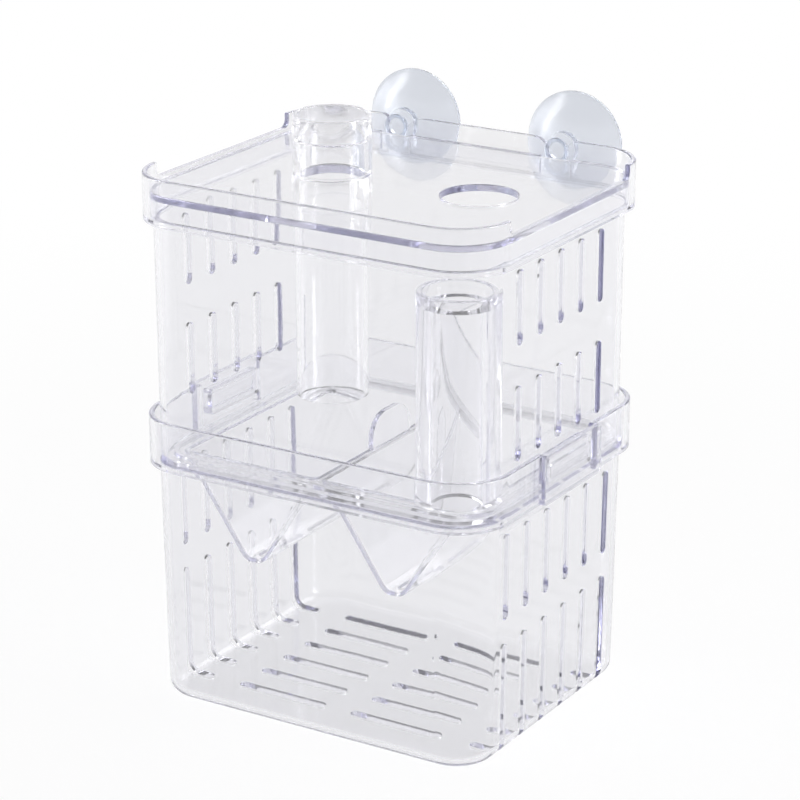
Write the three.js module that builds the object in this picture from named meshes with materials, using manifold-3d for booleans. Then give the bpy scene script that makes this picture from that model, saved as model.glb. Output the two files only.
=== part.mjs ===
// Fish breeding box: two clear moulded boxes stacked on each other, a funnel tray between them,
// a lid with a feeding tube, a second tube standing in a corner, and two suction cups.
// Millimetres, +Z up, origin at the middle of the underside of the lower box, front towards -Y.
import * as THREE from 'three';
import { mergeVertices } from 'three/addons/utils/BufferGeometryUtils.js';
import Module from 'manifold-3d';

const wasm = await Module();
wasm.setup();

// Outline that both boxes share, measured over their collars, and what draws in from it
const collarWidth = 126;
const collarDepth = 107;
const collarCorner = 17.5;
const collarWall = 1.7;
const collarStep = 3.1;
const ledge = 1.3;
const wall = 1.8;
const rimRound = 0.5;
const seatGap = 0.25;
const cutOverrun = 4;
const fuseDepth = 0.6;
const cornerSteps = 7;

// Lower box
const lowerWallHeight = 78.4;
const lowerCollarHeight = 15.8;
const lowerDraft = 1.2;
const lowerFloor = 1.8;
const baseFillet = 4.6;
const filletSteps = 3;

// Upper box
const upperWallHeight = 76.6;
const upperCollarHeight = 14.8;
const upperDraft = 0.4;
const shelfThickness = 1.3;
const shelfWidth = 4.2;

// Water slots in the side walls of both boxes and in the floor of the lower one
const slotWidth = 3.2;
const slotPitchShare = 0.1159;
const slotEndSteps = 3;
const lowerSlotCount = 6;
const lowerSlotTopMargin = 5.4;
const lowerSlotBreak = 45.3;
const lowerSlotBridge = 8;
const floorSlotInner = 4.8;
const floorSlotMargin = 26;
const wrapSlotReach = 15.4;
const upperSlotCount = 5;
const upperSlotRise = 14.3;
const upperSlotLength = 23.5;
const upperSlotBridge = 12.6;
const upperSlotTopMargin = 3;

// Hollow pads on the collar of the lower box, and the lugs of the upper box that drop into them
const padShare = 0.3327;
const padProud = 2;
const padCorner = 1.2;
const lugSideGap = 2.6;
const lugHeight = 8.4;
const lugRise = 3.4;
const lugClearance = 0.6;
const lugFrame = 1.6;
const lugRecess = 1;
const lugCorner = 1;

// Gaps in the rim of the upper box
const gripNotchShare = 0.6785;
const gripNotchDepth = 4.6;
const gripNotchCorner = 2.5;
const cupSpacingShare = 0.468;
const cupBelowRim = 3.4;
const notchCorner = 0.9;
const outerFlare = 3.5;
const innerFlareReach = 7.5;
const innerFlareDrop = 5.3;
const flareSteps = 5;

// Funnel tray, lying towards the right wall
const trayClearance = 1.5;
const trayShift = 1.1;
const trayPlate = 1.3;
const trayWall = 1.2;
const trayRim = 6.5;
const trayEndRim = 5.2;
const ridgeWidth = 2.2;
const troughDepth = 32.1;
const troughTipRadius = 5;
const troughTipFlat = 1.6;
const troughEndDraft = 1.6;
const troughCorner = 2.4;
const tipSteps = 3;
const troughSlotWidth = 2.2;
const troughSlotLength = 22;
const troughSlotBridge = 4;
const troughSlotCount = 3;
const tabLength = 22;
const tabHeight = 11;
const tabThickness = 1.6;
const tabCorner = 8;
const tabForward = 2;

// Lid
const lidClearance = 0.5;
const lidPlate = 2.2;
const lidSkirt = 5.6;
const lidSkirtWall = 1.4;
const holeRadius = 11.8;
const tubeHoleShare = -0.168;
const spareHoleShare = 0.2476;
const roundSteps = 36;
const reliefWidth = 11;
const reliefDepth = 2.2;

// Feeding tube
const feedClearance = 0.45;
const feedWall = 1.4;
const feedDrop = 72;
const sleeveLap = 0.5;
const sleeveWall = 1.5;
const sleeveHeight = 18;
const mouthDepth = 7.2;
const tubeEdge = 0.4;

// Tube in the front right corner
const cornerTubeRadius = 12.1;
const cornerTubeWall = 4.7;
const cornerTubeHeight = 65;
const cornerTubeClearance = 0.35;
const socketDepth = 4.3;
const socketStep = 2.8;

// Suction cups
const cupRadius = 16.6;
const cupDepth = 7.6;
const cupLip = 1.2;
const cupSkin = 1.9;
const bossRadius = 5.2;
const bossLength = 2.4;
const neckRadius = 2.7;
const neckClearance = 0.3;
const headRadius = 4.1;
const headThickness = 1.3;
const bellSteps = 6;
const bellPower = 1.7;

const clearLook = { color: 0xe6e7ee, roughness: 0.06, metalness: 0, transparent: true, opacity: 0.35 };
const cupLook = { color: 0xb9cfe6, roughness: 0.35, metalness: 0, transparent: true, opacity: 0.6 };

// Levels, insets and widths that follow from the sizes above
const ledgeTop = lowerWallHeight + ledge;
const lowerRim = lowerWallHeight + lowerCollarHeight;
const upperBase = ledgeTop + seatGap;
const upperStep = upperBase + upperWallHeight;
const upperRim = upperStep + upperCollarHeight;
const upperInner = collarStep + upperDraft + wall;
const trayBottom = upperBase + shelfThickness + seatGap;
const trayTop = trayBottom + trayPlate;
const lidBase = upperStep + ledge + seatGap;
const lidUnder = lidBase + lidSkirt;
const lidTop = lidUnder + lidPlate;
const cupZ = upperRim - cupBelowRim;
const cornerTubeInset = upperInner + cornerTubeClearance + cornerTubeRadius;
const slotPitch = collarDepth * slotPitchShare;
const padWidth = collarDepth * padShare;
const lugWidth = padWidth - 2 * (collarWall + lugSideGap);
const gripNotchWidth = collarDepth * gripNotchShare;
const cupSpacing = collarWidth * cupSpacingShare;
const tubeHoleX = collarWidth * tubeHoleShare;
const spareHoleX = collarWidth * spareHoleShare;
const trayInset = upperInner + trayClearance;
const troughWidth = (collarWidth - ridgeWidth) / 2 - trayInset - trayRim;
const troughLength = collarDepth - 2 * (trayInset + trayEndRim);
const troughPitch = troughWidth + ridgeWidth;
const backInner = collarDepth / 2 - collarWall;

// A closed geometry as a solid that can be joined and cut
function solidOf(geometry) {
  geometry.deleteAttribute('normal');
  geometry.deleteAttribute('uv');
  const merged = mergeVertices(geometry);
  return new wasm.Manifold(new wasm.Mesh({
    numProp: 3,
    vertProperties: new Float32Array(merged.attributes.position.array),
    triVerts: new Uint32Array(merged.index.array),
  }));
}

// A solid as a named mesh at its place
function pieceOf(name, solid, look, x = 0, y = 0, z = 0) {
  const data = solid.getMesh();
  const geometry = new THREE.BufferGeometry();
  geometry.setAttribute('position', new THREE.BufferAttribute(data.vertProperties, 3));
  geometry.setIndex(new THREE.BufferAttribute(data.triVerts, 1));
  geometry.computeVertexNormals();
  const piece = new THREE.Mesh(geometry, new THREE.MeshStandardMaterial(look));
  piece.name = name;
  piece.position.set(x, y, z);
  return piece;
}

// Points round a rectangle with round corners, counter-clockwise from above, at one height
function ring(width, depth, corner, z) {
  const points = [];
  const quarters = [[1, -1], [1, 1], [-1, 1], [-1, -1]];
  quarters.forEach(([sideX, sideY], quarter) => {
    for (let step = 0; step <= cornerSteps; step++) {
      const angle = (quarter - 1 + step / cornerSteps) * Math.PI / 2;
      const x = sideX * (width / 2 - corner) + corner * Math.cos(angle);
      const y = sideY * (depth / 2 - corner) + corner * Math.sin(angle);
      points.push(new THREE.Vector3(x, y, z));
    }
  });
  return points;
}

// Skin through a stack of rings from the bottom up, closed at both ends and moved along X
function loft(rings, shiftX = 0) {
  const count = rings[0].length;
  const faces = [];
  for (let i = 0; i < count * (rings.length - 1); i++) {
    const next = i % count === count - 1 ? i + 1 - count : i + 1;
    faces.push(i, next, next + count, i, next + count, i + count);
  }
  const top = count * (rings.length - 1);
  for (let i = 1; i + 1 < count; i++) {
    faces.push(0, i + 1, i, top, top + i, top + i + 1);
  }
  const geometry = new THREE.BufferGeometry().setFromPoints(rings.flat());
  geometry.setIndex(faces);
  geometry.translate(shiftX, 0, 0);
  return solidOf(geometry);
}

// Box-shaped solid whose outline is the collar's, drawn in by each inset at its height
function boxSolid(profile, shiftX = 0) {
  const rings = profile.map(([inset, z]) => ring(
    collarWidth - 2 * inset, collarDepth - 2 * inset, collarCorner - inset, z));
  return loft(rings, shiftX);
}

// Profile points of a quarter round that leads from a flat underside into a wall
function footFillet(inset, base, radius) {
  const points = [];
  for (let step = 0; step <= filletSteps; step++) {
    const angle = step / filletSteps * Math.PI / 2;
    points.push([inset + radius * (1 - Math.sin(angle)), base + radius * (1 - Math.cos(angle))]);
  }
  return points;
}

// Outline with two round ends, its length along X
function slotShape(length, width) {
  const reach = (length - width) / 2;
  const shape = new THREE.Shape();
  shape.absarc(reach, 0, width / 2, -Math.PI / 2, Math.PI / 2, false);
  shape.absarc(-reach, 0, width / 2, Math.PI / 2, 3 * Math.PI / 2, false);
  return shape;
}

// Rectangle with round corners
function padShape(width, height, corner) {
  const x = width / 2 - corner;
  const y = height / 2 - corner;
  const shape = new THREE.Shape();
  shape.absarc(x, -y, corner, -Math.PI / 2, 0, false);
  shape.absarc(x, y, corner, 0, Math.PI / 2, false);
  shape.absarc(-x, y, corner, Math.PI / 2, Math.PI, false);
  shape.absarc(-x, -y, corner, Math.PI, 3 * Math.PI / 2, false);
  return shape;
}

// Straight prism of a flat shape, standing on the XY plane
function prism(shape, depth, curveSegments) {
  return new THREE.ExtrudeGeometry(shape, { depth, bevelEnabled: false, curveSegments });
}

// Prism whose shape lies in the YZ plane, between two places along X
function prismAlongX(shape, fromX, toX, y, z) {
  const geometry = prism(shape, toX - fromX, slotEndSteps);
  geometry.rotateX(Math.PI / 2).rotateZ(Math.PI / 2).translate(fromX, y, z);
  return solidOf(geometry);
}

// The same prism on the right and on the left side
function onBothSides(shape, inner, outer, z) {
  return [prismAlongX(shape, inner, outer, 0, z), prismAlongX(shape, -outer, -inner, 0, z)];
}

// Upright slot cutters through both side walls, one pair for each place along Y
function sideSlots(places, low, high) {
  const half = collarWidth / 2;
  const depth = wall + lowerDraft + collarStep + 2 * cutOverrun;
  const cutters = [];
  for (const y of places) {
    for (const outer of [half + cutOverrun, depth - half - cutOverrun]) {
      const geometry = prism(slotShape(high - low, slotWidth), depth, slotEndSteps);
      geometry.rotateY(-Math.PI / 2).translate(outer, y, (low + high) / 2);
      cutters.push(solidOf(geometry));
    }
  }
  return cutters;
}

// Slot cutters through the floor, one pair for each place along Y
function floorSlots(places, inner, outer) {
  const cutters = [];
  for (const y of places) {
    for (const side of [-1, 1]) {
      const geometry = prism(slotShape(outer - inner, slotWidth), lowerFloor + 2 * cutOverrun, slotEndSteps);
      geometry.translate(side * (inner + outer) / 2, y, -cutOverrun);
      cutters.push(solidOf(geometry));
    }
  }
  return cutters;
}

// Places along Y of a row of slots, centred on the box
function slotPlaces(count) {
  return Array.from({ length: count }, (_, i) => (i - (count - 1) / 2) * slotPitch);
}

// Solid turned from a closed profile of radius and height round an upright axis
function turned(profile, axisX = 0) {
  const points = profile.map(([radius, z]) => new THREE.Vector2(radius, z));
  const geometry = new THREE.LatheGeometry(points, roundSteps);
  geometry.rotateX(Math.PI / 2).translate(axisX, 0, 0);
  return solidOf(geometry);
}

function joinAll(body, others) {
  return others.reduce((solid, other) => solid.add(other), body);
}

function cutAll(body, cutters) {
  return cutters.reduce((solid, cutter) => solid.subtract(cutter), body);
}

// Lower box: drawn-in wall with a filleted foot, and the collar that takes the upper box
function lowerBox() {
  const outerFoot = collarStep + lowerDraft;
  const outer = boxSolid([
    ...footFillet(outerFoot, 0, baseFillet),
    [collarStep, lowerWallHeight],
    [0, lowerWallHeight],
    [0, lowerRim - rimRound],
    [rimRound, lowerRim],
  ]);
  const cavity = boxSolid([
    ...footFillet(outerFoot + wall, lowerFloor, baseFillet - lowerFloor),
    [collarStep + wall, ledgeTop],
    [collarWall, ledgeTop],
    [collarWall, lowerRim + cutOverrun],
  ]);
  const half = collarWidth / 2;
  const padMiddle = (lowerWallHeight + lowerRim) / 2;
  const pads = onBothSides(padShape(padWidth, lowerCollarHeight, padCorner),
    half - fuseDepth, half + padProud, padMiddle);
  const pocketHeight = 2 * (lowerRim - ledgeTop);
  const pockets = onBothSides(padShape(padWidth - 2 * collarWall, pocketHeight, padCorner),
    half - collarWall - fuseDepth, half + padProud - collarWall, lowerRim);
  const places = slotPlaces(lowerSlotCount);
  const body = joinAll(outer, pads);
  return cutAll(body, [
    cavity,
    ...pockets,
    ...sideSlots(places, lowerSlotBreak, lowerWallHeight - lowerSlotTopMargin),
    ...sideSlots(places, -cutOverrun, lowerSlotBreak - lowerSlotBridge),
    ...floorSlots(places, half - wrapSlotReach, half),
    ...floorSlots(places, floorSlotInner, half - floorSlotMargin),
  ]);
}

// Cutter for the open-topped notch that holds the neck of one suction cup: a flat bottom with round
// corners, and a flare at the rim that is wider on the side towards the middle
function neckNotch(side) {
  const half = neckRadius + neckClearance;
  const foot = notchCorner - half;
  const top = cupBelowRim + cutOverrun;
  const depth = collarWall + 2 * cutOverrun;
  const shape = new THREE.Shape();
  shape.absarc(foot, foot, notchCorner, Math.PI, 3 * Math.PI / 2, false);
  shape.absarc(-foot, foot, notchCorner, -Math.PI / 2, 0, false);
  shape.absarc(half + outerFlare, cupBelowRim - outerFlare, outerFlare, Math.PI, Math.PI / 2, true);
  shape.lineTo(half + outerFlare, top);
  shape.lineTo(-half - innerFlareReach, top);
  shape.absellipse(-half - innerFlareReach, cupBelowRim - innerFlareDrop,
    innerFlareReach, innerFlareDrop, Math.PI / 2, 0, true);
  const geometry = prism(shape, depth, flareSteps);
  geometry.rotateX(Math.PI / 2).translate(0, depth / 2, 0);
  geometry.rotateZ(side < 0 ? Math.PI : 0);
  geometry.translate(side * cupSpacing / 2, (backInner + collarDepth / 2) / 2, cupZ);
  return solidOf(geometry);
}

// Framed lug on a side wall of the upper box
function lugs() {
  const face = collarWidth / 2 + padProud - collarWall - lugClearance;
  const root = collarWidth / 2 - collarStep - upperDraft - fuseDepth;
  const middle = upperBase + lugRise + lugHeight / 2;
  const pads = onBothSides(padShape(lugWidth, lugHeight, lugCorner), root, face, middle);
  const recessWidth = lugWidth - 2 * lugFrame;
  const recessHeight = lugHeight - 2 * lugFrame;
  const recesses = onBothSides(padShape(recessWidth, recessHeight, lugCorner),
    face - lugRecess, face + lugRecess, middle);
  return pads.map((pad, i) => pad.subtract(recesses[i]));
}

// Upper box: a shelf for the tray round its open bottom, and the collar that takes the lid
function upperBox() {
  const outer = boxSolid([
    [collarStep + upperDraft + rimRound, upperBase],
    [collarStep + upperDraft, upperBase + rimRound],
    [collarStep, upperStep],
    [0, upperStep],
    [0, upperRim - rimRound],
    [rimRound, upperRim],
  ]);
  const cavity = boxSolid([
    [upperInner, upperBase + shelfThickness],
    [collarStep + wall, upperStep + ledge],
    [collarWall, upperStep + ledge],
    [collarWall, upperRim + cutOverrun],
  ]);
  const openInset = upperInner + shelfWidth;
  const opening = boxSolid([[openInset, upperBase - cutOverrun], [openInset, upperBase + cutOverrun]]);
  const half = collarWidth / 2 + cutOverrun;
  const gripNotch = prismAlongX(padShape(gripNotchWidth, 2 * gripNotchDepth, gripNotchCorner),
    -half, half, 0, upperRim);
  const places = slotPlaces(upperSlotCount);
  const lowSlot = upperBase + upperSlotRise;
  const highSlot = lowSlot + upperSlotLength + upperSlotBridge;
  const shell = cutAll(outer, [
    cavity,
    opening,
    gripNotch,
    neckNotch(-1),
    neckNotch(1),
    ...sideSlots(places, lowSlot, lowSlot + upperSlotLength),
    ...sideSlots(places, highSlot, upperStep - upperSlotTopMargin),
  ]);
  return joinAll(shell, lugs());
}

// Rings of one V-shaped trough with a round tip, grown by an offset, up to a height over the tray
function troughRings(offset, top) {
  const half = troughWidth / 2;
  const centreDepth = troughDepth - troughTipRadius;
  const slope = Math.atan2(centreDepth, half);
  const tangent = slope - Math.acos(troughTipRadius / Math.hypot(half, centreDepth));
  const radius = troughTipRadius + offset;
  const lastAngle = -Math.acos(troughTipFlat / troughTipRadius);
  const section = [];
  for (let step = 0; step <= tipSteps; step++) {
    const angle = lastAngle + (tangent - lastAngle) * step / tipSteps;
    section.push([radius * Math.cos(angle), radius * Math.sin(angle) - centreDepth]);
  }
  const rise = (top - section[tipSteps][1]) / Math.cos(tangent);
  section.push([section[tipSteps][0] - rise * Math.sin(tangent), top]);
  return section.map(([x, z]) => {
    const endY = troughLength / 2 + offset + troughEndDraft * z / troughDepth;
    return ring(2 * x, 2 * endY, troughCorner * x / half, trayTop + z);
  });
}

function trough(offset, top, side) {
  return loft(troughRings(offset, top), trayShift + side * troughPitch / 2);
}

// Slots in the tip of a trough that let the fry fall through
function troughSlots(side) {
  const cutters = [];
  for (let i = 0; i < troughSlotCount; i++) {
    const y = (i - (troughSlotCount - 1) / 2) * (troughSlotLength + troughSlotBridge);
    const geometry = prism(slotShape(troughSlotLength, troughSlotWidth), 2 * cutOverrun, slotEndSteps);
    geometry.rotateZ(Math.PI / 2);
    geometry.translate(trayShift + side * troughPitch / 2, y, trayTop - troughDepth - cutOverrun);
    cutters.push(solidOf(geometry));
  }
  return cutters;
}

// Rounded tab on the ridge between the troughs, to lift the tray by
function liftTab() {
  const reach = tabLength / 2;
  const shape = new THREE.Shape();
  shape.moveTo(-reach, -fuseDepth);
  shape.lineTo(reach, -fuseDepth);
  shape.absarc(reach - tabCorner, tabHeight - tabCorner, tabCorner, 0, Math.PI / 2, false);
  shape.absarc(tabCorner - reach, tabHeight - tabCorner, tabCorner, Math.PI / 2, Math.PI, false);
  const left = trayShift - tabThickness / 2;
  return prismAlongX(shape, left, left + tabThickness, -tabForward, trayTop);
}

// Tray with two V-shaped troughs that run from front to back
function funnelTray() {
  const plate = boxSolid([[trayInset, trayBottom], [trayInset, trayTop]], trayShift);
  const shells = [-1, 1].map((side) => trough(trayWall, -trayPlate / 2, side));
  const hollows = [-1, 1].map((side) => trough(0, cutOverrun, side));
  const slots = [-1, 1].flatMap((side) => troughSlots(side));
  return cutAll(joinAll(plate, shells), [...hollows, ...slots]).add(liftTab());
}

// Straight round cutter on an upright axis
function roundCutter(radius, x, low, high) {
  return turned([[0, low], [radius, low], [radius, high], [0, high]], x);
}

// Lid: flat plate on a skirt, with a hole for the feeding tube and a spare hole
function lid() {
  const inset = collarWall + lidClearance;
  const body = boxSolid([[inset, lidBase], [inset, lidTop - rimRound], [inset + rimRound, lidTop]]);
  const skirtInset = inset + lidSkirtWall;
  const under = boxSolid([[skirtInset, lidBase - cutOverrun], [skirtInset, lidUnder]]);
  const edge = collarDepth / 2 - inset;
  const reliefs = [-1, 1].map((side) => {
    const height = 2 * (lidSkirt + lidPlate) + cutOverrun;
    const geometry = new THREE.BoxGeometry(reliefWidth, 2 * reliefDepth, height);
    geometry.translate(side * cupSpacing / 2, edge, lidUnder);
    return solidOf(geometry);
  });
  const holes = [tubeHoleX, spareHoleX].map(
    (x) => roundCutter(holeRadius, x, lidUnder - cutOverrun, lidTop + cutOverrun));
  return cutAll(body, [under, ...reliefs, ...holes]);
}

// Feeding tube: hangs in the lid by a wider sleeve that stands above it
function feedingTube() {
  const radius = holeRadius - feedClearance;
  const bore = radius - feedWall;
  const sleeve = holeRadius + sleeveLap;
  const mouth = sleeve - sleeveWall;
  const seat = lidTop + seatGap;
  const top = seat + sleeveHeight;
  const bottom = lidTop - feedDrop;
  const mouthFloor = top - mouthDepth;
  return turned([
    [bore, bottom],
    [radius, bottom],
    [radius, seat],
    [sleeve, seat],
    [sleeve, top - tubeEdge],
    [sleeve - tubeEdge, top],
    [mouth, top],
    [mouth, mouthFloor],
    [bore, mouthFloor + bore - mouth],
    [bore, bottom],
  ]);
}

// Plain tube with a socket at the top, standing on the tray in the front right corner
function cornerTube() {
  const bore = cornerTubeRadius - cornerTubeWall;
  const socket = bore + socketStep;
  const top = cornerTubeHeight;
  return turned([
    [bore, 0],
    [cornerTubeRadius - tubeEdge, 0],
    [cornerTubeRadius, tubeEdge],
    [cornerTubeRadius, top - tubeEdge],
    [cornerTubeRadius - tubeEdge, top],
    [socket, top],
    [socket, top - socketDepth],
    [bore, top - socketDepth],
    [bore, 0],
  ]);
}

// Points along the bell of a suction cup, from the boss to the lip, swept back by a power curve
function bellLine(fromRadius, toRadius, from, to) {
  const points = [];
  for (let step = 1; step <= bellSteps; step++) {
    const share = step / bellSteps;
    points.push([fromRadius + (toRadius - fromRadius) * share, from + (to - from) * share ** bellPower]);
  }
  return points;
}

// Suction cup on an upright axis: head inside the rim, neck, and the bell that faces the tank wall
function suctionCup() {
  const neckStart = backInner - neckClearance;
  const bossStart = collarDepth / 2 + neckClearance;
  const bellStart = bossStart + bossLength;
  const lipFace = bellStart + cupDepth;
  const inside = bellLine(0, cupRadius - cupLip, bellStart + cupSkin, lipFace).reverse();
  return turned([
    [0, neckStart - headThickness],
    [headRadius, neckStart - headThickness],
    [headRadius, neckStart],
    [neckRadius, neckStart],
    [neckRadius, bossStart],
    [bossRadius, bossStart],
    [bossRadius, bellStart],
    ...bellLine(bossRadius, cupRadius, bellStart, lipFace - cupLip),
    [cupRadius, lipFace],
    ...inside,
    [0, bellStart + cupSkin],
  ]);
}

// Suction cup in its notch, turned so that its axis runs back
function cupPiece(name, x) {
  const piece = pieceOf(name, suctionCup(), cupLook, x, 0, cupZ);
  piece.rotation.x = -Math.PI / 2;
  return piece;
}

const breedingBox = new THREE.Group();
breedingBox.add(
  pieceOf('lower_box', lowerBox(), clearLook),
  pieceOf('upper_box', upperBox(), clearLook),
  pieceOf('funnel_tray', funnelTray(), clearLook),
  pieceOf('lid', lid(), clearLook),
  pieceOf('feeding_tube', feedingTube(), clearLook, tubeHoleX),
  pieceOf('corner_tube', cornerTube(), clearLook,
    collarWidth / 2 - cornerTubeInset, cornerTubeInset - collarDepth / 2, trayTop + seatGap),
  cupPiece('suction_cup_left', -cupSpacing / 2),
  cupPiece('suction_cup_right', cupSpacing / 2),
);

export default breedingBox;
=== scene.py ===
import math

import bmesh
import bpy
import numpy as np
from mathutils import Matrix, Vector


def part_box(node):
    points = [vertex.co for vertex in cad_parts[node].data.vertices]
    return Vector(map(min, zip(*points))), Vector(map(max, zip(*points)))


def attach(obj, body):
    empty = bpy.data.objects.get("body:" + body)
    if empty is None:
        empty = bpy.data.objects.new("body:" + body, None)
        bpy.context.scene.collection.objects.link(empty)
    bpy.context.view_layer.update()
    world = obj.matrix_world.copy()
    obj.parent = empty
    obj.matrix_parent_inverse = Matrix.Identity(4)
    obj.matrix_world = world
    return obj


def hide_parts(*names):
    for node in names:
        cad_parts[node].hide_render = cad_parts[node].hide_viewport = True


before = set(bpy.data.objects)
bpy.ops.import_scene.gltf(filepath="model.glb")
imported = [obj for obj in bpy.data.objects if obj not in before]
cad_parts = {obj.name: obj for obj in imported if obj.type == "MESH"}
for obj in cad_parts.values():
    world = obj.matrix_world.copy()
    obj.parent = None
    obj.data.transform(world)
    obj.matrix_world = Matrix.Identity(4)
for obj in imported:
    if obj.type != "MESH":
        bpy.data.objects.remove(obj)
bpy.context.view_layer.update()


# Lower box. A clear injection-moulded tub, one shot of hard plastic. Its wall stands back under
# a thick collar that the upper box drops into; slots let tank water through its sides and floor,
# and a hollow pad on each side of the collar takes the upper box's lug.

collar_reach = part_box("upper_box")[1]
lower_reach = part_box("lower_box")[1]
half_width = collar_reach.x
half_depth = collar_reach.y
collar_corner = 0.0175
collar_wall = 0.0017
collar_step = 0.0031
ledge = 0.0013
wall = 0.0018
rim_round = 0.0005
overrun = 0.004
fuse = 0.0006
corner_steps = 20
fillet_points = 9
rim_points = 5
slot_end_steps = 10
pad_corner_steps = 8

lower_rim = lower_reach.z
lower_wall_top = 0.0784
lower_draft = 0.0012
foot_round = 0.0046
ledge_top = lower_wall_top + ledge

slot_width = 0.0032
slot_pitch = 0.0124
lower_slots = 6
lower_slot_top = 0.073
lower_slot_break = 0.0453
lower_slot_bridge = 0.008
floor_slot_inner = 0.0048
floor_slot_outer = 0.037
wrap_slot_inner = 0.0476

pad_width = 0.0356
pad_proud = lower_reach.x - half_width
pad_corner = 0.0012

edge_round = 0.00022
sharp_angle = math.radians(32)


def ring(inset, z):
    """Points round the collar's outline drawn in by inset, at height z: four arcs about the same
    corner centres, each point its centre plus the radius times cosine and sine of its angle."""
    radius = collar_corner - inset
    quarter = np.arange(4)[:, None]
    angle = (quarter - 1 + np.linspace(0, 1, corner_steps + 1)) * np.pi / 2
    side_x = np.array([1, 1, -1, -1])[:, None]
    side_y = np.array([-1, 1, 1, -1])[:, None]
    x = side_x * (half_width - collar_corner) + radius * np.cos(angle)
    y = side_y * (half_depth - collar_corner) + radius * np.sin(angle)
    return np.stack([x, y, np.full_like(x, z)], axis=-1).reshape(-1, 3)


def arc(middle_a, middle_b, radius, start, end, steps):
    """Points on a circle: the middle plus radius times cosine and sine, from start to end in degrees."""
    angle = np.radians(np.linspace(start, end, steps + 1))
    return np.stack([middle_a + radius * np.cos(angle), middle_b + radius * np.sin(angle)], axis=-1)


def solid(rings, looped=False):
    """Object whose skin runs through equal rings of points, each joined to the next by quads.
    The ends are closed by a face each, or looped joins the last ring back to the first."""
    rings = np.asarray(rings)
    rows, count = rings.shape[:2]
    point = np.arange(rows * count).reshape(rows, count)
    after = np.roll(point, -1, axis=1)
    upper = slice(None) if looped else slice(0, rows - 1)
    above, above_after = np.roll(point, -1, axis=0), np.roll(after, -1, axis=0)
    quads = np.stack([point, after, above_after, above], axis=-1)[upper].reshape(-1, 4).tolist()
    ends = [] if looped else [point[0, ::-1].tolist(), point[-1].tolist()]
    mesh = bpy.data.meshes.new("solid")
    mesh.from_pydata(rings.reshape(-1, 3).tolist(), [], quads + ends)
    tidy = bmesh.new()
    tidy.from_mesh(mesh)
    bmesh.ops.remove_doubles(tidy, verts=tidy.verts, dist=1e-7)
    bmesh.ops.recalc_face_normals(tidy, faces=tidy.faces)
    tidy.to_mesh(mesh)
    tidy.free()
    made = bpy.data.objects.new("solid", mesh)
    bpy.context.scene.collection.objects.link(made)
    return made


def box_solid(profile):
    """Solid through the collar's outline drawn in by each inset at its height."""
    return solid([ring(inset, z) for inset, z in profile])


def prism(outline, along, start, end):
    """Straight prism of a flat outline. The outline lies in the two axes other than along."""
    outline = np.asarray(outline)
    rings = [np.insert(outline, along, place, axis=1) for place in (start, end)]
    return solid(rings)


def obround(middle_a, middle_b, length, width, along_b):
    """Outline with two half-circle ends, its length along the second axis or the first."""
    reach = (length - width) / 2
    points = np.concatenate([
        arc(reach, 0, width / 2, -90, 90, slot_end_steps),
        arc(-reach, 0, width / 2, 90, 270, slot_end_steps),
    ])
    if along_b:
        points = points[:, ::-1]
    return points + [middle_a, middle_b]


def round_rectangle(middle_a, middle_b, width, height, corner):
    """Rectangle with round corners, as four quarter arcs."""
    a, b = width / 2 - corner, height / 2 - corner
    arcs = [
        arc(a, -b, corner, -90, 0, pad_corner_steps),
        arc(a, b, corner, 0, 90, pad_corner_steps),
        arc(-a, b, corner, 90, 180, pad_corner_steps),
        arc(-a, -b, corner, 180, 270, pad_corner_steps),
    ]
    return np.concatenate(arcs) + [middle_a, middle_b]


def both_sides(outline, inner, outer):
    """The same prism along X on the right and on the left side."""
    return [prism(outline, 0, inner, outer), prism(outline, 0, -outer, -inner)]


def side_slots(places, low, high):
    """Upright slot cutters through both side walls, one pair for each place along Y."""
    cutters = []
    for y in places:
        outline = obround(y, (low + high) / 2, high - low, slot_width, True)
        inner = half_width - collar_step - lower_draft - wall - overrun
        cutters += both_sides(outline, inner, half_width + overrun)
    return cutters


def floor_slots(places, inner, outer):
    """Slot cutters through the floor, one pair for each place along Y."""
    cutters = []
    for y in places:
        for side in (-1, 1):
            outline = obround(side * (inner + outer) / 2, y, outer - inner, slot_width, False)
            cutters.append(prism(outline, 2, -overrun, wall + overrun))
    return cutters


def slot_places(count):
    """Places along Y of a row of slots, centred on the box."""
    return (np.arange(count) - (count - 1) / 2) * slot_pitch


def carved(name, body, joined, cut):
    """The body with the solids of joined added and those of cut taken away, as one new object."""
    for operation, operands in (("UNION", joined), ("DIFFERENCE", cut)):
        if not operands:
            continue
        group = bpy.data.collections.new(operation)
        bpy.context.scene.collection.children.link(group)
        for operand in operands:
            group.objects.link(operand)
        step = body.modifiers.new(operation, "BOOLEAN")
        step.operation = operation
        step.solver = "EXACT"
        step.use_self = True
        step.operand_type = "COLLECTION"
        step.collection = group
    bpy.context.view_layer.update()
    depsgraph = bpy.context.evaluated_depsgraph_get()
    mesh = bpy.data.meshes.new_from_object(body.evaluated_get(depsgraph))
    for used in [body, *joined, *cut]:
        bpy.data.objects.remove(used)
    mesh.name = name
    piece = bpy.data.objects.new(name, mesh)
    bpy.context.scene.collection.objects.link(piece)
    return piece


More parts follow.
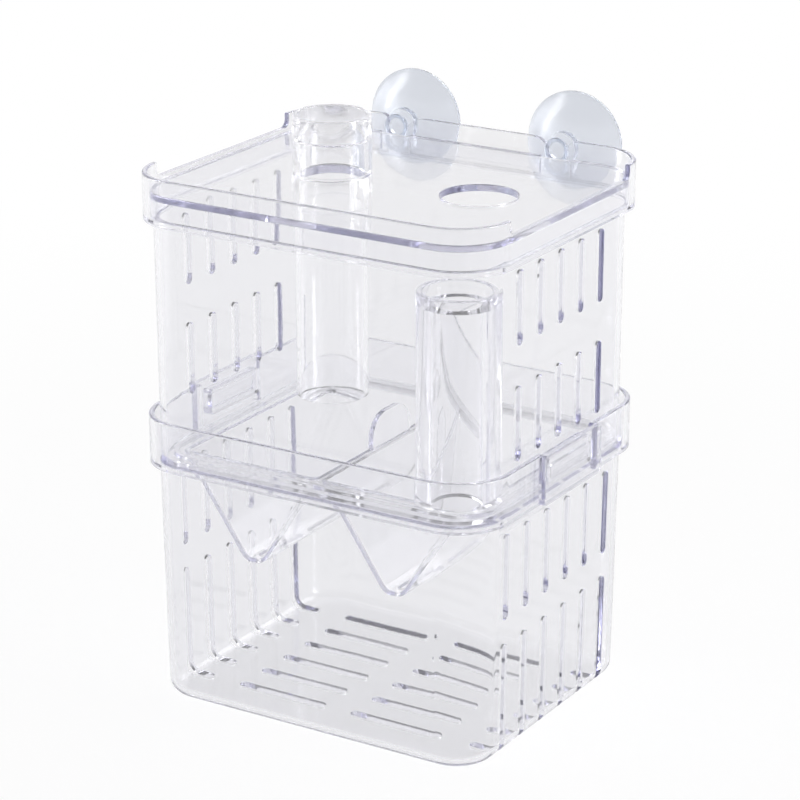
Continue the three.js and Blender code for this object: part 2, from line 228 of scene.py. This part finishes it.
def finish_moulding(piece):
    """Rounds the edges a little, as a mould does, and leaves broad faces flat beside the curves."""
    tidy = bmesh.new()
    tidy.from_mesh(piece.data)
    bmesh.ops.remove_doubles(tidy, verts=tidy.verts, dist=1e-6)
    bmesh.ops.dissolve_degenerate(tidy, edges=tidy.edges, dist=1e-6)
    tidy.to_mesh(piece.data)
    tidy.free()
    piece.data.shade_smooth()
    bevel = piece.modifiers.new("edge round", "BEVEL")
    bevel.width = edge_round
    bevel.segments = 2
    bevel.limit_method = "ANGLE"
    bevel.angle_limit = sharp_angle
    bevel.use_clamp_overlap = True
    bevel.harden_normals = False
    flat = piece.modifiers.new("flat faces", "WEIGHTED_NORMAL")
    flat.mode = "FACE_AREA"
    flat.keep_sharp = True


def foot_fillet(inset, base, radius):
    """Inset and height of a quarter round that leads from a flat underside into a wall."""
    angle = np.linspace(0, np.pi / 2, fillet_points)
    return np.stack(
        [inset + radius * (1 - np.sin(angle)), base + radius * (1 - np.cos(angle))], axis=-1)


def rim_outside(inset, top):
    """Inset and height of the outer round on a rim."""
    angle = np.linspace(0, np.pi / 2, rim_points)
    return np.stack(
        [inset + rim_round * (1 - np.cos(angle)), top - rim_round * (1 - np.sin(angle))], axis=-1)


def rim_inside(inset, top):
    """Inset and height of a cutter that rounds the inner edge of a rim."""
    angle = np.linspace(0, np.pi / 2, rim_points)
    return np.stack(
        [inset - rim_round * (1 - np.cos(angle)), top - rim_round * (1 - np.sin(angle))], axis=-1)


lower_outside = box_solid([
    *foot_fillet(collar_step + lower_draft, 0, foot_round),
    (collar_step, lower_wall_top),
    (0, lower_wall_top),
    *rim_outside(0, lower_rim),
])
lower_cavity = box_solid([
    *foot_fillet(collar_step + lower_draft + wall, wall, foot_round - wall),
    (collar_step + wall, ledge_top),
    (collar_wall, ledge_top),
    *rim_inside(collar_wall, lower_rim),
    (collar_wall - rim_round, lower_rim + overrun),
])
pad_outline = round_rectangle(
    0, (lower_wall_top + lower_rim) / 2, pad_width, lower_rim - lower_wall_top, pad_corner)
pocket_outline = round_rectangle(
    0, lower_rim, pad_width - 2 * collar_wall, 2 * (lower_rim - ledge_top), pad_corner)
lower_places = slot_places(lower_slots)
lower_box = carved(
    "clear_lower_box",
    lower_outside,
    both_sides(pad_outline, half_width - fuse, half_width + pad_proud),
    [
        lower_cavity,
        *both_sides(pocket_outline, half_width - collar_wall - fuse,
                    half_width + pad_proud - collar_wall),
        *side_slots(lower_places, lower_slot_break, lower_slot_top),
        *side_slots(lower_places, -overrun, lower_slot_break - lower_slot_bridge),
        *floor_slots(lower_places, wrap_slot_inner, half_width),
        *floor_slots(lower_places, floor_slot_inner, floor_slot_outer),
    ],
)
finish_moulding(lower_box)


class Value:
    """A shader socket. Python's operators on it add the Math nodes that work them out."""

    def __init__(self, shader, socket):
        self.shader = shader
        self.socket = socket

    def _math(self, operation, first, second):
        return self.shader.node("ShaderNodeMath", {"operation": operation}, {0: first, 1: second})

    def __add__(self, other):
        return self._math("ADD", self, other)

    def __radd__(self, other):
        return self._math("ADD", other, self)

    def __mul__(self, other):
        return self._math("MULTIPLY", self, other)

    def __rmul__(self, other):
        return self._math("MULTIPLY", other, self)


class Shader:
    """A material's or a world's nodes, made one by one from type, settings and inputs. What a node
    returns is its first output, or the one that is named."""

    def __init__(self, owner):
        owner.use_nodes = True
        self.tree = owner.node_tree
        self.tree.nodes.clear()

    def node(self, kind, settings, inputs, output=0):
        made = self.tree.nodes.new(kind)
        for key, value in settings.items():
            setattr(made, key, value)
        for key, value in inputs.items():
            if isinstance(value, Value):
                self.tree.links.new(value.socket, made.inputs[key])
            else:
                made.inputs[key].default_value = value
        return Value(self, made.outputs[output]) if made.outputs else None


def noise(shader, place, scale, detail):
    """Soft noise from 0 to 1 on a position, with features about one over scale metres wide."""
    return shader.node("ShaderNodeTexNoise", {"noise_dimensions": "3D"}, {
        "Vector": place, "Scale": scale, "Detail": detail, "Roughness": 0.55})


lavender = (0.28, 0.27, 0.52, 1)
wave_scale = 55
scuff_scale = 900
most_turns = 18


def clear_plastic(name, clarity, tint, lamp_tint, depth_density):
    """Hard clear plastic: glass with the slight waves of moulding, polished but for the product of
    waves and scuffs, and a fine haze where its clarity is under 1. Lamp light passes straight on,
    and so does light that turned too often in it. A long way through absorbs all but lavender."""
    material = bpy.data.materials.new(name)
    shader = Shader(material)
    place = shader.node("ShaderNodeTexCoord", {}, {}, "Object")
    waves = noise(shader, place, wave_scale, 1)
    scuffs = noise(shader, place, scuff_scale, 3)
    bump = shader.node("ShaderNodeBump", {}, {
        "Height": 0.85 * waves + 0.04 * scuffs, "Strength": 0.35, "Distance": 0.0002})
    plastic = shader.node("ShaderNodeBsdfPrincipled", {}, {
        "Base Color": tint,
        "Roughness": 0.015 + 0.05 * scuffs * waves,
        "IOR": 1.5,
        "Transmission Weight": clarity,
        "Normal": bump,
    })
    passed = shader.node("ShaderNodeBsdfTransparent", {}, {"Color": lamp_tint})
    freed = shader.node("ShaderNodeBsdfTransparent", {}, {"Color": (1, 1, 1, 1)})
    turns = shader.node("ShaderNodeLightPath", {}, {}, "Ray Depth")
    trapped = shader.node("ShaderNodeMath", {"operation": "GREATER_THAN"}, {0: turns, 1: most_turns})
    seen = shader.node("ShaderNodeMixShader", {}, {0: trapped, 1: plastic, 2: freed})
    lamp_ray = shader.node("ShaderNodeLightPath", {}, {}, "Is Shadow Ray")
    surface = shader.node("ShaderNodeMixShader", {}, {0: lamp_ray, 1: seen, 2: passed})
    body = shader.node("ShaderNodeVolumeAbsorption", {}, {"Color": lavender, "Density": depth_density})
    shader.node("ShaderNodeOutputMaterial", {}, {"Surface": surface, "Volume": body})
    return material


box_plastic = clear_plastic(
    "clear box plastic", clarity=0.985, tint=(0.982, 0.982, 0.988, 1),
    lamp_tint=(0.93, 0.93, 0.95, 1), depth_density=15)
lower_box.data.materials.append(box_plastic)
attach(lower_box, "lower_box")
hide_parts("lower_box")


# Upper box. The same plastic and the same wall, moulded without a floor: a shelf round its foot
# carries the tray. Its foot stands on the ledge inside the lower collar, a framed lug on each
# side drops into the pads there, and the rim is cut away for fingers and for the cup necks.

upper_base, upper_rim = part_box("upper_box")[0].z, collar_reach.z
upper_wall_height = 0.0766
upper_step = upper_base + upper_wall_height
upper_draft = 0.0004
shelf_thickness = 0.0013
shelf_width = 0.0042
upper_inner = collar_step + upper_draft + wall

upper_slots = 5
upper_slot_rise = 0.0143
upper_slot_length = 0.0235
upper_slot_bridge = 0.0126
upper_slot_top_margin = 0.003

lug_width = 0.027
lug_height = 0.0084
lug_rise = 0.0034
lug_clearance = 0.0006
lug_frame = 0.0016
lug_recess = 0.001
lug_corner = 0.001

grip_notch_width = 0.0726
grip_notch_depth = 0.0046
grip_notch_corner = 0.0025
cup_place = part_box("suction_cup_right")[0].lerp(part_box("suction_cup_right")[1], 0.5)
neck_radius = 0.0027
neck_clearance = 0.0003
notch_corner = 0.0009
outer_flare = 0.0035
inner_flare_reach = 0.0075
inner_flare_drop = 0.0053
outer_flare_steps = 10
inner_flare_steps = 14
notch_corner_steps = 6


def neck_notch(side):
    """Cutter for the notch round one cup neck: flat below with round corners, then straight, and
    flared at the rim by a quarter circle outwards and a wider quarter ellipse to the middle."""
    half = neck_radius + neck_clearance
    foot = cup_place.z - half + notch_corner
    flare = arc(half + outer_flare, upper_rim - outer_flare, outer_flare, 180, 90, outer_flare_steps)
    wide = arc(0, 0, 1, 90, 0, inner_flare_steps) * [inner_flare_reach, inner_flare_drop]
    outline = np.concatenate([
        arc(notch_corner - half, foot, notch_corner, 180, 270, notch_corner_steps),
        arc(half - notch_corner, foot, notch_corner, -90, 0, notch_corner_steps),
        flare,
        [(flare[-1, 0], upper_rim + overrun), (-half - inner_flare_reach, upper_rim + overrun)],
        wide + [-half - inner_flare_reach, upper_rim - inner_flare_drop],
    ]) * [side, 1] + [side * cup_place.x, 0]
    return prism(outline, 1, half_depth - collar_wall - overrun, half_depth + overrun)


upper_outside = box_solid([
    *foot_fillet(collar_step + upper_draft, upper_base, rim_round),
    (collar_step, upper_step),
    (0, upper_step),
    *rim_outside(0, upper_rim),
])
upper_cavity = box_solid([
    (upper_inner, upper_base + shelf_thickness),
    (collar_step + wall, upper_step + ledge),
    (collar_wall, upper_step + ledge),
    *rim_inside(collar_wall, upper_rim),
    (collar_wall - rim_round, upper_rim + overrun),
])
shelf_opening = box_solid([
    (upper_inner + shelf_width, upper_base - overrun),
    (upper_inner + shelf_width, upper_base + overrun),
])
lug_face = half_width + pad_proud - collar_wall - lug_clearance
lug_root = half_width - collar_step - upper_draft - fuse
lug_middle = upper_base + lug_rise + lug_height / 2
lug_outline = round_rectangle(0, lug_middle, lug_width, lug_height, lug_corner)
recess_outline = round_rectangle(
    0, lug_middle, lug_width - 2 * lug_frame, lug_height - 2 * lug_frame, lug_corner)
upper_places = slot_places(upper_slots)
low_slot = upper_base + upper_slot_rise
high_slot = low_slot + upper_slot_length + upper_slot_bridge
grip_outline = round_rectangle(0, upper_rim, grip_notch_width, 2 * grip_notch_depth, grip_notch_corner)
upper_box = carved(
    "clear_upper_box",
    upper_outside,
    both_sides(lug_outline, lug_root, lug_face),
    [
        upper_cavity,
        shelf_opening,
        *both_sides(recess_outline, lug_face - lug_recess, lug_face + lug_recess),
        *both_sides(grip_outline, half_width - 2 * collar_step, half_width + overrun),
        neck_notch(-1),
        neck_notch(1),
        *side_slots(upper_places, low_slot, low_slot + upper_slot_length),
        *side_slots(upper_places, high_slot, upper_step - upper_slot_top_margin),
    ],
)
finish_moulding(upper_box)
upper_box.data.materials.append(box_plastic)
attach(upper_box, "upper_box")
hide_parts("upper_box")


# Funnel tray. A thin clear moulding that lies on the shelf: two V-shaped troughs run from front
# to back, so that fry fall through the slots in their tips into the lower box. A rounded tab on
# the ridge between them lifts it out.

tray_low, tray_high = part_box("funnel_tray")
tray_middle = (tray_low.x + tray_high.x) / 2
tray_half_x = (tray_high.x - tray_low.x) / 2
tray_half_y = tray_high.y
tray_plate = 0.0013
seat_gap = 0.00025
tray_bottom = upper_base + shelf_thickness + seat_gap
tray_top = tray_bottom + tray_plate
tray_wall = 0.0012
tray_rim = 0.0065
tray_end_rim = 0.0052
ridge_width = 0.0022
trough_half = (tray_half_x - tray_rim - ridge_width / 2) / 2
trough_end = tray_half_y - tray_end_rim
trough_depth = 0.0321
trough_tip = 0.005
trough_tip_flat = 0.0016
trough_tip_points = 9
trough_end_draft = 0.0016
trough_corner = 0.0024
trough_slot_width = 0.0022
trough_slot_length = 0.022
trough_slot_bridge = 0.004
trough_slots = 3
tab_length = 0.022
tab_height = 0.011
tab_thickness = 0.0016
tab_corner = 0.008
tab_corner_steps = 12
tab_forward = 0.002


def trough(middle_x, offset, top):
    """Solid of one V-shaped trough grown by an offset. Its section is an arc round the tip that
    runs on into the straight slope, and each level is a rectangle with round corners."""
    centre_depth = trough_depth - trough_tip
    slope = math.atan2(centre_depth, trough_half)
    tangent = slope - math.acos(trough_tip / math.hypot(trough_half, centre_depth))
    last = -math.acos(trough_tip_flat / trough_tip)
    angle = np.linspace(last, tangent, trough_tip_points)
    half = (trough_tip + offset) * np.cos(angle)
    level = (trough_tip + offset) * np.sin(angle) - centre_depth
    rise = (top - level[-1]) / math.cos(tangent)
    half = np.append(half, half[-1] - rise * math.sin(tangent))
    level = np.append(level, top)
    rings = []
    for reach, z in zip(half, level):
        end = trough_end + offset + trough_end_draft * z / trough_depth
        outline = round_rectangle(middle_x, 0, 2 * reach, 2 * end, trough_corner * reach / trough_half)
        rings.append(np.insert(outline, 2, tray_top + z, axis=1))
    return solid(rings)


def trough_slot_cutters(middle_x):
    """Cutters for the slots along the tip of one trough."""
    cutters = []
    for place in np.arange(trough_slots) - (trough_slots - 1) / 2:
        y = place * (trough_slot_length + trough_slot_bridge)
        outline = obround(middle_x, y, trough_slot_length, trough_slot_width, True)
        level = tray_top - trough_depth
        cutters.append(prism(outline, 2, level - overrun, level + overrun))
    return cutters


trough_middles = [tray_middle + side * (trough_half + ridge_width / 2) for side in (-1, 1)]
tray_inset = half_width - tray_half_x
plate_rings = [ring(tray_inset, z) + [tray_middle, 0, 0] for z in (tray_bottom, tray_top)]
tab_shoulder = tray_top + tab_height - tab_corner
tab_outline = np.concatenate([
    [(-tab_length / 2, tray_top - fuse), (tab_length / 2, tray_top - fuse)],
    arc(tab_length / 2 - tab_corner, tab_shoulder, tab_corner, 0, 90, tab_corner_steps),
    arc(tab_corner - tab_length / 2, tab_shoulder, tab_corner, 90, 180, tab_corner_steps),
]) - [tab_forward, 0]
tray_shell = carved(
    "tray shell",
    solid(plate_rings),
    [trough(x, tray_wall, -tray_plate / 2) for x in trough_middles],
    [
        *[trough(x, 0, overrun) for x in trough_middles],
        *[cutter for x in trough_middles for cutter in trough_slot_cutters(x)],
    ],
)
tab = prism(tab_outline, 0, tray_middle - tab_thickness / 2, tray_middle + tab_thickness / 2)
funnel_tray = carved("clear_funnel_tray", tray_shell, [tab], [])
finish_moulding(funnel_tray)
tray_plastic = clear_plastic(
    "clear tray plastic", clarity=0.985, tint=(0.99, 0.99, 0.993, 1),
    lamp_tint=(0.94, 0.94, 0.96, 1), depth_density=10)
funnel_tray.data.materials.append(tray_plastic)
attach(funnel_tray, "funnel_tray")
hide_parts("funnel_tray")


# Lid. A flat clear plate on a shallow skirt that stands on the ledge inside the upper collar.
# One round hole holds the feeding tube and the other is spare; two cut-outs in the back edge
# clear the heads of the suction cups.

lid_low, lid_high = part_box("lid")
lid_inset = half_width - lid_high.x
lid_plate = 0.0022
lid_skirt_wall = 0.0014
lid_under = lid_high.z - lid_plate
hole_radius = 0.0118
hole_round = 0.0004
tube_low, tube_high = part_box("feeding_tube")
tube_x = (tube_low.x + tube_high.x) / 2
spare_hole_x = 0.0312
relief_width = 0.011
relief_depth = 0.0022
relief_corner = 0.0006
round_points = 96


def round_rings(profile, x, y):
    """Circles about an upright axis at x and y, one for each radius and height."""
    angle = np.linspace(0, 2 * np.pi, round_points, endpoint=False)
    circle = np.stack([np.cos(angle), np.sin(angle), 0 * angle], axis=-1)
    profile = np.asarray(profile)[:, None, :]
    return profile[..., :1] * circle + np.stack(
        [x + 0 * profile[..., 1], y + 0 * profile[..., 1], profile[..., 1]], axis=-1)


def hole_cutter(x):
    """Round cutter whose ends flare, so that the hole's edges come out rounded."""
    angle = np.linspace(0, np.pi / 2, rim_points)
    flare = hole_radius + hole_round * (1 - np.cos(angle))
    rise = hole_round * np.sin(angle)
    upper = np.stack([flare, lid_high.z - hole_round + rise], axis=-1)
    lower = np.stack([flare, lid_under + hole_round - rise], axis=-1)[::-1]
    ends = hole_radius + hole_round
    return solid(round_rings(
        [(ends, lid_under - overrun), *lower, *upper, (ends, lid_high.z + overrun)], x, 0))


def relief(x):
    """Cutter for one cut-out in the back edge."""
    outline = round_rectangle(x, half_depth - lid_inset, relief_width, 2 * relief_depth, relief_corner)
    return prism(outline, 2, lid_low.z - overrun, lid_high.z + overrun)


lid_outside = box_solid([(lid_inset, lid_low.z), *rim_outside(lid_inset, lid_high.z)])
lid_hollow = box_solid([
    (lid_inset + lid_skirt_wall, lid_low.z - overrun),
    (lid_inset + lid_skirt_wall, lid_under),
])
lid = carved(
    "clear_lid",
    lid_outside,
    [],
    [lid_hollow, hole_cutter(tube_x), hole_cutter(spare_hole_x), relief(-cup_place.x), relief(cup_place.x)],
)
finish_moulding(lid)
lid.data.materials.append(box_plastic)
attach(lid, "lid")
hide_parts("lid")


# Tubes. Two clear extruded tubes: the feeding tube hangs in the lid by a wider sleeve that is
# pushed on above it, and the other stands loose on the tray, close to both walls of the front
# right corner, with a socket turned into its top.

feed_clearance = 0.00045
feed_wall = 0.0014
feed_radius = hole_radius - feed_clearance
feed_bore = feed_radius - feed_wall
sleeve_radius = (tube_high.x - tube_low.x) / 2
sleeve_wall = 0.0015
sleeve_height = 0.018
mouth_depth = 0.0072
mouth_radius = sleeve_radius - sleeve_wall
mouth_floor = tube_high.z - mouth_depth
sleeve_foot = tube_high.z - sleeve_height
tube_edge = 0.0004
tube_edge_points = 4
corner_low, corner_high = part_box("corner_tube")
corner_x = (corner_low.x + corner_high.x) / 2
corner_y = (corner_low.y + corner_high.y) / 2
corner_radius = (corner_high.x - corner_low.x) / 2
corner_tube_wall = 0.0047
socket_step = 0.0028
socket_depth = 0.0043
corner_bore = corner_radius - corner_tube_wall
socket_radius = corner_bore + socket_step
socket_floor = corner_high.z - socket_depth


def edge(radius, z, outward, upward, size):
    """Radius and height of a small quarter round on an edge whose corner is at radius and z."""
    turn = np.linspace(0, np.pi / 2, tube_edge_points)
    if outward != upward:
        turn = turn[::-1]
    out = 1 if outward else -1
    up = 1 if upward else -1
    middle = np.array([radius - out * size, z - up * size])
    return middle + size * np.stack([out * np.cos(turn), up * np.sin(turn)], axis=-1)


feeding_tube = solid(round_rings([
    (feed_bore, tube_low.z),
    *edge(feed_radius, tube_low.z, True, False, tube_edge),
    (feed_radius, sleeve_foot),
    *edge(sleeve_radius, sleeve_foot, True, False, tube_edge),
    *edge(sleeve_radius, tube_high.z, True, True, tube_edge),
    *edge(mouth_radius, tube_high.z, False, True, tube_edge),
    (mouth_radius, mouth_floor),
    (feed_bore, mouth_floor + feed_bore - mouth_radius),
], tube_x, 0), looped=True)
feeding_tube.name = "clear_feeding_tube"

corner_tube = solid(round_rings([
    (corner_bore, corner_low.z),
    *edge(corner_radius, corner_low.z, True, False, tube_edge),
    *edge(corner_radius, corner_high.z, True, True, tube_edge),
    *edge(socket_radius, corner_high.z, False, True, tube_edge),
    (socket_radius, socket_floor),
    (corner_bore, socket_floor),
], corner_x, corner_y), looped=True)
corner_tube.name = "clear_corner_tube"

tube_plastic = clear_plastic(
    "clear tube plastic", clarity=0.998, tint=(0.996, 0.996, 0.998, 1),
    lamp_tint=(0.94, 0.94, 0.96, 1), depth_density=2)
for tube, node in ((feeding_tube, "feeding_tube"), (corner_tube, "corner_tube")):
    tube.data.shade_smooth()
    tube.data.set_sharp_from_angle(angle=sharp_angle)
    tube.data.materials.append(tube_plastic)
    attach(tube, node)
    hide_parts(node)


# Suction cups. Soft pale blue PVC, moulded in one: a thin bell that presses on the tank wall, a
# boss behind it, and a thin neck and a button head that clip into a notch of the back rim.

cup_low, cup_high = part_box("suction_cup_right")
cup_radius = (cup_high.x - cup_low.x) / 2
cup_lip = 0.0012
cup_skin = 0.0019
boss_radius = 0.0052
boss_length = 0.0024
head_radius = 0.0041
head_thickness = 0.0013
bell_power = 1.7
bell_points = 24
cloud_scale = 180
grain_scale = 1600


def bell(from_radius, to_radius, start, end):
    """Radius and place along the axis of a bell: the place grows as a power of the way out."""
    share = np.linspace(0, 1, bell_points)[1:]
    return np.stack(
        [from_radius + (to_radius - from_radius) * share, start + (end - start) * share ** bell_power],
        axis=-1)


def suction_cup(name, x):
    """A cup turned round an axis along Y, from the head inside the box to the lip."""
    neck_start = half_depth - collar_wall - neck_clearance
    boss_start = half_depth + neck_clearance
    bell_start = boss_start + boss_length
    lip_face = cup_high.y
    profile = np.array([
        (0, neck_start - head_thickness),
        *edge(head_radius, neck_start - head_thickness, True, False, tube_edge),
        *edge(head_radius, neck_start, True, True, tube_edge),
        (neck_radius, neck_start),
        (neck_radius, boss_start),
        *edge(boss_radius, boss_start, True, False, tube_edge),
        (boss_radius, bell_start),
        *bell(boss_radius, cup_radius, bell_start, lip_face - cup_lip),
        *edge(cup_radius, lip_face, True, True, tube_edge),
        *bell(0, cup_radius - cup_lip, bell_start + cup_skin, lip_face)[::-1],
        (0, bell_start + cup_skin),
    ])
    rings = round_rings(profile, 0, 0)
    rings = np.stack([rings[..., 0] + x, rings[..., 2], cup_place.z + rings[..., 1]], axis=-1)
    cup = solid(rings)
    cup.name = name
    return cup


def soft_pvc(name):
    """Soft clear PVC with a blue tint: glass whose roughness and bumps follow a cloudy noise, with
    a tenth of it a plain surface that scatters light."""
    material = bpy.data.materials.new(name)
    shader = Shader(material)
    place = shader.node("ShaderNodeTexCoord", {}, {}, "Object")
    cloud = noise(shader, place, cloud_scale, 2)
    grain = noise(shader, place, grain_scale, 2)
    bump = shader.node("ShaderNodeBump", {}, {
        "Height": cloud + 0.15 * grain, "Strength": 0.4, "Distance": 0.00015})
    pvc = shader.node("ShaderNodeBsdfPrincipled", {}, {
        "Base Color": (0.84, 0.865, 0.925, 1),
        "Roughness": 0.16 + 0.12 * cloud,
        "IOR": 1.52,
        "Transmission Weight": 0.9,
        "Normal": bump,
    })
    passed = shader.node("ShaderNodeBsdfTransparent", {}, {"Color": (0.75, 0.82, 0.9, 1)})
    lamp_ray = shader.node("ShaderNodeLightPath", {}, {}, "Is Shadow Ray")
    surface = shader.node("ShaderNodeMixShader", {}, {0: lamp_ray, 1: pvc, 2: passed})
    shader.node("ShaderNodeOutputMaterial", {}, {"Surface": surface})
    return material


cup_pvc = soft_pvc("soft blue PVC")
for name, node, x in (
    ("left_suction_cup", "suction_cup_left", -cup_place.x),
    ("right_suction_cup", "suction_cup_right", cup_place.x),
):
    cup = suction_cup(name, x)
    cup.data.shade_smooth()
    cup.data.set_sharp_from_angle(angle=sharp_angle)
    cup.data.materials.append(cup_pvc)
    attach(cup, node)
    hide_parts(node)


# Studio. A plain white floor that fades into a white world, three soft lamps, and the camera at
# the photograph's place. Seen through the plastic, the white is full at both sides of the object,
# a little lower in a lane along the view, and nearly gone high above the horizon.

floor_half = 6
floor_level = -0.0002
white = (1, 1, 1, 1)
matte_white = (0.93, 0.93, 0.93, 1)
sky_white = (0.95, 0.96, 1, 1)
sky_strength = 0.25
through_white = 0.91
lane_from, lane_to = 0.012, 0.05
plain_share = 0.91
plain_from, plain_to = 0.2, 0.6
dark_from, dark_to = 0.28, 0.5
dark_strength = 0.02
azimuth = math.radians(31.49)
elevation = math.radians(19.29)
floor_mesh = bpy.data.meshes.new("studio floor")
floor_mesh.from_pydata(
    [(-floor_half, -floor_half, floor_level), (floor_half, -floor_half, floor_level),
     (floor_half, floor_half, floor_level), (-floor_half, floor_half, floor_level)],
    [], [(0, 1, 2, 3)])
floor = bpy.data.objects.new("studio floor", floor_mesh)
bpy.context.scene.collection.objects.link(floor)


def sight(shader):
    """Two values: 1 for rays from the camera, and 1 for rays on from it by a mirror or through glass."""
    direct = shader.node("ShaderNodeLightPath", {}, {}, "Is Camera Ray")
    mirrored = shader.node("ShaderNodeLightPath", {}, {}, "Is Glossy Ray")
    passed = shader.node("ShaderNodeLightPath", {}, {}, "Is Transmission Ray")
    return direct, shader.node("ShaderNodeMath", {"operation": "MAXIMUM"}, {0: mirrored, 1: passed})


def fade(shader, value, start, end, before, after):
    """Smooth step from one strength to another while the value goes from start to end."""
    return shader.node("ShaderNodeMapRange", {"interpolation_type": "SMOOTHSTEP"}, {
        "Value": value, "From Min": start, "From Max": end, "To Min": before, "To Max": after})


floor_material = bpy.data.materials.new("white floor")
floor_shader = Shader(floor_material)
direct, onward = sight(floor_shader)
floor_matte = floor_shader.node("ShaderNodeBsdfDiffuse", {}, {"Color": matte_white})
floor_place = floor_shader.node("ShaderNodeTexCoord", {}, {}, "Object")
aside = floor_shader.node("ShaderNodeVectorMath", {"operation": "DOT_PRODUCT"}, {
    0: floor_place, 1: (math.cos(azimuth), math.sin(azimuth), 0)}, "Value")
away = floor_shader.node("ShaderNodeVectorMath", {"operation": "LENGTH"}, {0: floor_place}, "Value")
lane = fade(floor_shader, aside * aside, lane_from, lane_to, through_white, 1)
plain = fade(floor_shader, away, plain_from, plain_to, plain_share, 1)
floor_white = floor_shader.node("ShaderNodeEmission", {}, {
    "Color": white, "Strength": direct + lane * onward})
floor_mix = floor_shader.node("ShaderNodeMixShader", {}, {
    0: plain * (direct + onward), 1: floor_matte, 2: floor_white})
floor_shader.node("ShaderNodeOutputMaterial", {}, {"Surface": floor_mix})
floor_mesh.materials.append(floor_material)

world = bpy.data.worlds.new("studio")
bpy.context.scene.world = world
world_shader = Shader(world)
direct, onward = sight(world_shader)
world_light = world_shader.node("ShaderNodeBackground", {}, {"Color": sky_white, "Strength": sky_strength})
toward = world_shader.node("ShaderNodeTexCoord", {}, {}, "Generated")
height = world_shader.node("ShaderNodeSeparateXYZ", {}, {0: toward}, "Z")
backdrop = fade(world_shader, height, dark_from, dark_to, through_white, dark_strength)
world_white = world_shader.node("ShaderNodeBackground", {}, {
    "Color": white, "Strength": direct + backdrop * onward})
world_mix = world_shader.node("ShaderNodeMixShader", {}, {
    0: direct + onward, 1: world_light, 2: world_white})
world_shader.node("ShaderNodeOutputWorld", {}, {"Surface": world_mix})


def lamp(name, place, target, width, height, watts):
    """Rectangular soft lamp that faces a target, its height upright."""
    data = bpy.data.lights.new(name, "AREA")
    data.shape = "RECTANGLE"
    data.size = width
    data.size_y = height
    data.energy = watts
    made = bpy.data.objects.new(name, data)
    made.location = place
    made.rotation_mode = "QUATERNION"
    made.rotation_quaternion = (Vector(target) - Vector(place)).to_track_quat("-Z", "Y")
    bpy.context.scene.collection.objects.link(made)


middle = (0, 0, 0.09)
lamp("left softbox", (-0.95, -0.35, 0.55), middle, 0.3, 1, 6)
lamp("right softbox", (0.95, 0.15, 0.5), middle, 0.25, 0.9, 6)
lamp("back softbox", (0.1, 0.95, 0.85), middle, 0.9, 0.6, 5)

view_centre = Vector((0.00694, 0, 0.09763))
view_distance = 0.9452
camera_lens, sensor_width = 136.8, 36
camera_shift = (-0.0127, -0.0051)
light_turns = 32
clear_layers = 16
towards_camera = Vector((
    math.sin(azimuth) * math.cos(elevation),
    -math.cos(azimuth) * math.cos(elevation),
    math.sin(elevation),
))
camera_data = bpy.data.cameras.new("camera")
camera_data.lens = camera_lens
camera_data.sensor_width = sensor_width
camera_data.shift_x, camera_data.shift_y = camera_shift
camera = bpy.data.objects.new("camera", camera_data)
camera.location = view_centre + view_distance * towards_camera
camera.rotation_mode = "QUATERNION"
camera.rotation_quaternion = (-towards_camera).to_track_quat("-Z", "Y")
bpy.context.scene.collection.objects.link(camera)
bpy.context.scene.camera = camera
bpy.context.scene.view_settings.view_transform = "Standard"
bpy.context.scene.cycles.max_bounces = light_turns
bpy.context.scene.cycles.transmission_bounces = light_turns
bpy.context.scene.cycles.glossy_bounces = light_turns
bpy.context.scene.cycles.transparent_max_bounces = clear_layers
